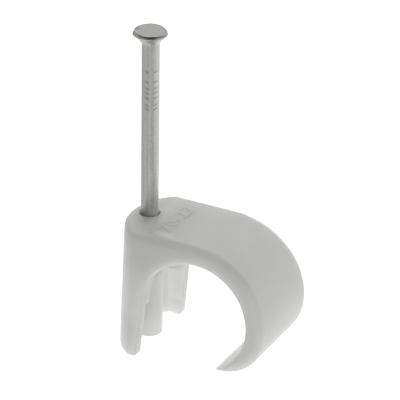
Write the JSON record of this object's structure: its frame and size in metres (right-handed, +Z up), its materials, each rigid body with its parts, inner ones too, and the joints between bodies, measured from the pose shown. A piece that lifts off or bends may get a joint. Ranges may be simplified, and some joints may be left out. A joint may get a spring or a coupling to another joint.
{
  "type": "nail in cable clip",
  "caption": "Moulded hook clip with its hardened nail standing ready in a hollow leg, for fixing one round cable to a wall.",
  "frame": {"origin": "where the nail's axis meets the wall plane, at the base of the leg", "axes": "+Z up the nail towards its head, +X from the nail to the hook, +Y along the cable"},
  "size_m": [0.0338, 0.0208, 0.0634],
  "materials": {
    "clip_plastic": "moulded, soft sheen",
    "nail_steel": "zinc plated, drawn wire"
  },
  "bodies": {
    "clip": {"clip_body": "clip_plastic"},
    "nail_body": {"nail": "nail_steel"}
  },
  "joints": [
    {"name": "nail_drive", "type": "slide", "parent": "clip", "child": "nail_body", "axis": [0, 0, -1], "range_m": [0, 0.0354]}
  ]
}
